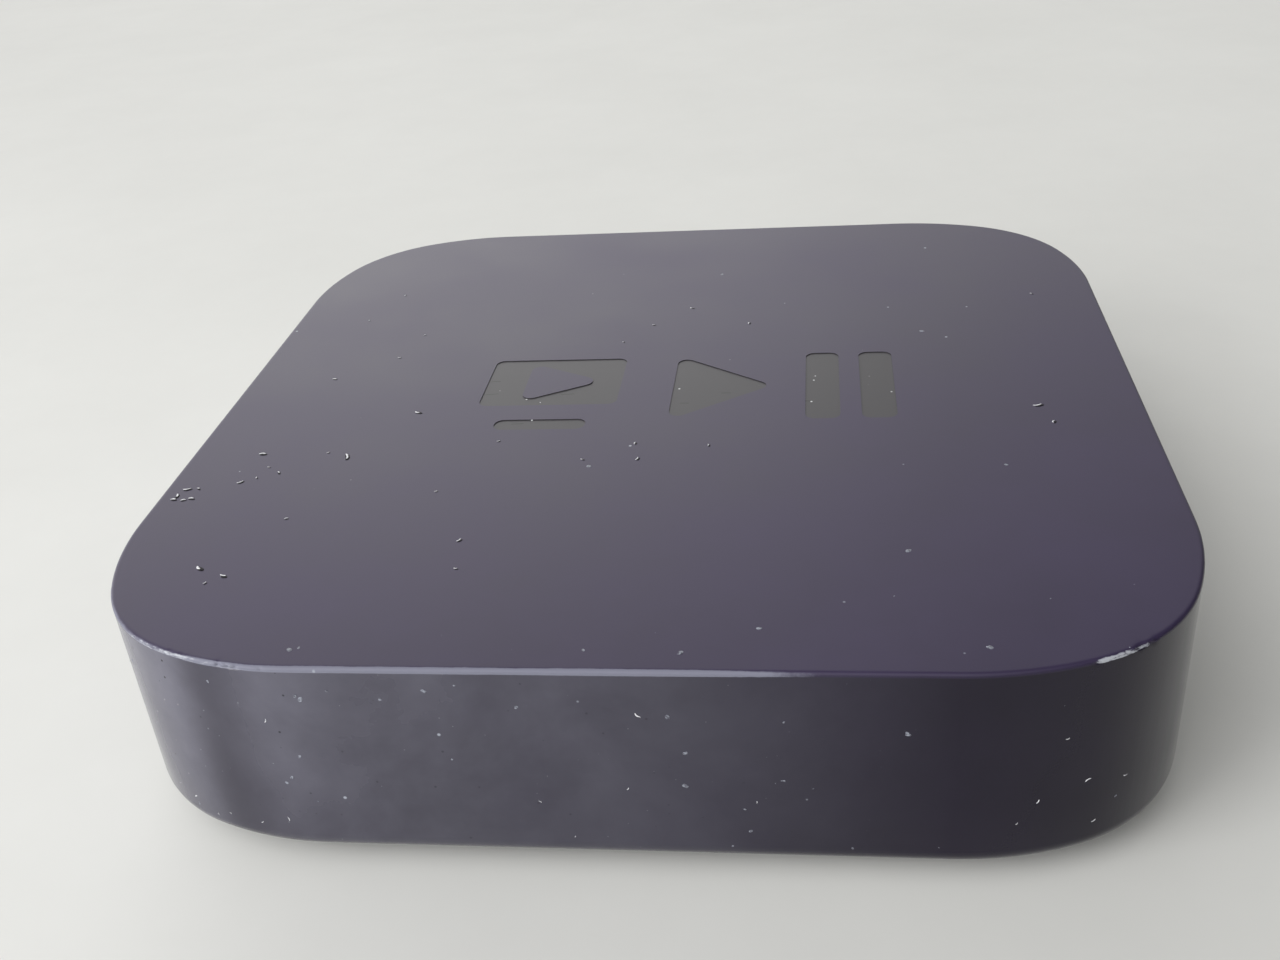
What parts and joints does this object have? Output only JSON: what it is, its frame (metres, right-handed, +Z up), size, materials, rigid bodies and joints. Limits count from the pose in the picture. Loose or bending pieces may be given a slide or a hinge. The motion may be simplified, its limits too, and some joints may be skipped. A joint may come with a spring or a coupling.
{
  "type": "streaming media player",
  "caption": "Small rounded-square set-top box for streaming video, with a flat rubber foot, mains inlet, video, optical audio and network sockets, and its boards inside.",
  "frame": {"origin": "centre of the rubber foot's underside, on the surface the box stands on", "axes": "+Z up, +Y towards the sockets at the rear, -Y the front, X across the box"},
  "size_m": [0.098, 0.098, 0.023],
  "materials": {
    "case_plastic": "fine satin moulding with polished patches",
    "cover_plastic": "spark-eroded matt texture",
    "foot_rubber": "matt with a fine moulded texture",
    "logic_laminate": "green-black solder mask over copper",
    "power_laminate": "bare tan laminate",
    "screw_steel": "zinc plated",
    "chip_plastic": "fine-grained moulding compound",
    "shield_metal": "bright tinned sheet",
    "socket_metal": "nickel-plated folded sheet",
    "spreader_aluminium": "plain rolled sheet",
    "pad_silicone": "soft filled silicone",
    "component_ceramic": "fired ceramic with tinned ends",
    "ferrite": "dark ground ferrite",
    "contact_gold": "thin gold plate",
    "socket_plastic": "glass-filled black moulding",
    "emitter_plastic": "dark red clear moulding",
    "shutter_plastic": "smooth black moulding",
    "pin_steel": "drawn bright wire",
    "insulator_sheet": "milky flame-retardant sheet",
    "inlet_plastic": "glass-filled black moulding",
    "pin_nickel": "nickel-plated brass",
    "fuse_ceramic": "white ceramic tube with plated caps",
    "choke_winding": "enamelled copper wire on a green core",
    "capacitor_sleeve": "dark blue shrunk sleeve",
    "winding_tape": "yellow polyester tape",
    "bobbin_plastic": "black phenolic",
    "header_plastic": "off-white nylon",
    "lead_insulation": "extruded wire insulation",
    "aerial_film": "printed flexible film",
    "coax_jacket": "thin coaxial jacket",
    "flex_film": "amber polyimide film",
    "light_lens": "milky clear lens",
    "receiver_plastic": "infrared-clear dark moulding"
  },
  "bodies": {
    "case": {"upper_housing": "case_plastic", "bottom_cover": "cover_plastic", "foot_pad": "foot_rubber", "logic_board": "logic_laminate", "logic_board_screws": "screw_steel", "processor_chips": "chip_plastic", "memory_chip": "chip_plastic", "shield_frame": "shield_metal", "shield_lid": "shield_metal", "thermal_pad": "pad_silicone", "heat_spreader": "spreader_aluminium", "wireless_module": "shield_metal", "aerials": "aerial_film", "aerial_leads": "coax_jacket", "chip_components": "component_ceramic", "power_inductors": "ferrite", "hdmi_shell": "socket_metal", "hdmi_tongue": "socket_plastic", "hdmi_contacts": "contact_gold", "service_port_shell": "socket_metal", "service_port_tongue": "socket_plastic", "optical_housing": "socket_plastic", "optical_emitter": "emitter_plastic", "shutter_pin": "pin_steel", "shutter_spring": "pin_steel", "ethernet_housing": "socket_plastic", "ethernet_shield": "socket_metal", "ethernet_contacts": "contact_gold", "ethernet_transformer": "chip_plastic", "power_board": "power_laminate", "power_board_screws": "screw_steel", "power_insulator": "insulator_sheet", "power_inlet": "inlet_plastic", "power_inlet_pins": "pin_nickel", "fuse": "fuse_ceramic", "line_choke": "choke_winding", "bridge_rectifier": "chip_plastic", "bulk_capacitors": "capacitor_sleeve", "transformer_core": "ferrite", "transformer_winding": "winding_tape", "transformer_feet": "bobbin_plastic", "output_capacitors": "capacitor_sleeve", "lead_sockets": "header_plastic", "output_lead": "lead_insulation", "indicator_board": "logic_laminate", "status_light": "light_lens", "infrared_receiver": "receiver_plastic", "flex_cable": "flex_film", "flex_sockets": "header_plastic"},
    "shutter": {"optical_shutter": "shutter_plastic"}
  },
  "joints": [
    {"name": "optical_shutter_hinge", "type": "hinge", "parent": "case", "child": "shutter", "pos_m": [-0.01215, 0.0472, 0.01845], "axis": [-1, 0, 0], "range_deg": [0, 86], "stiffness_Nm_per_rad": 0.0001, "springref_deg": -11.46}
  ]
}
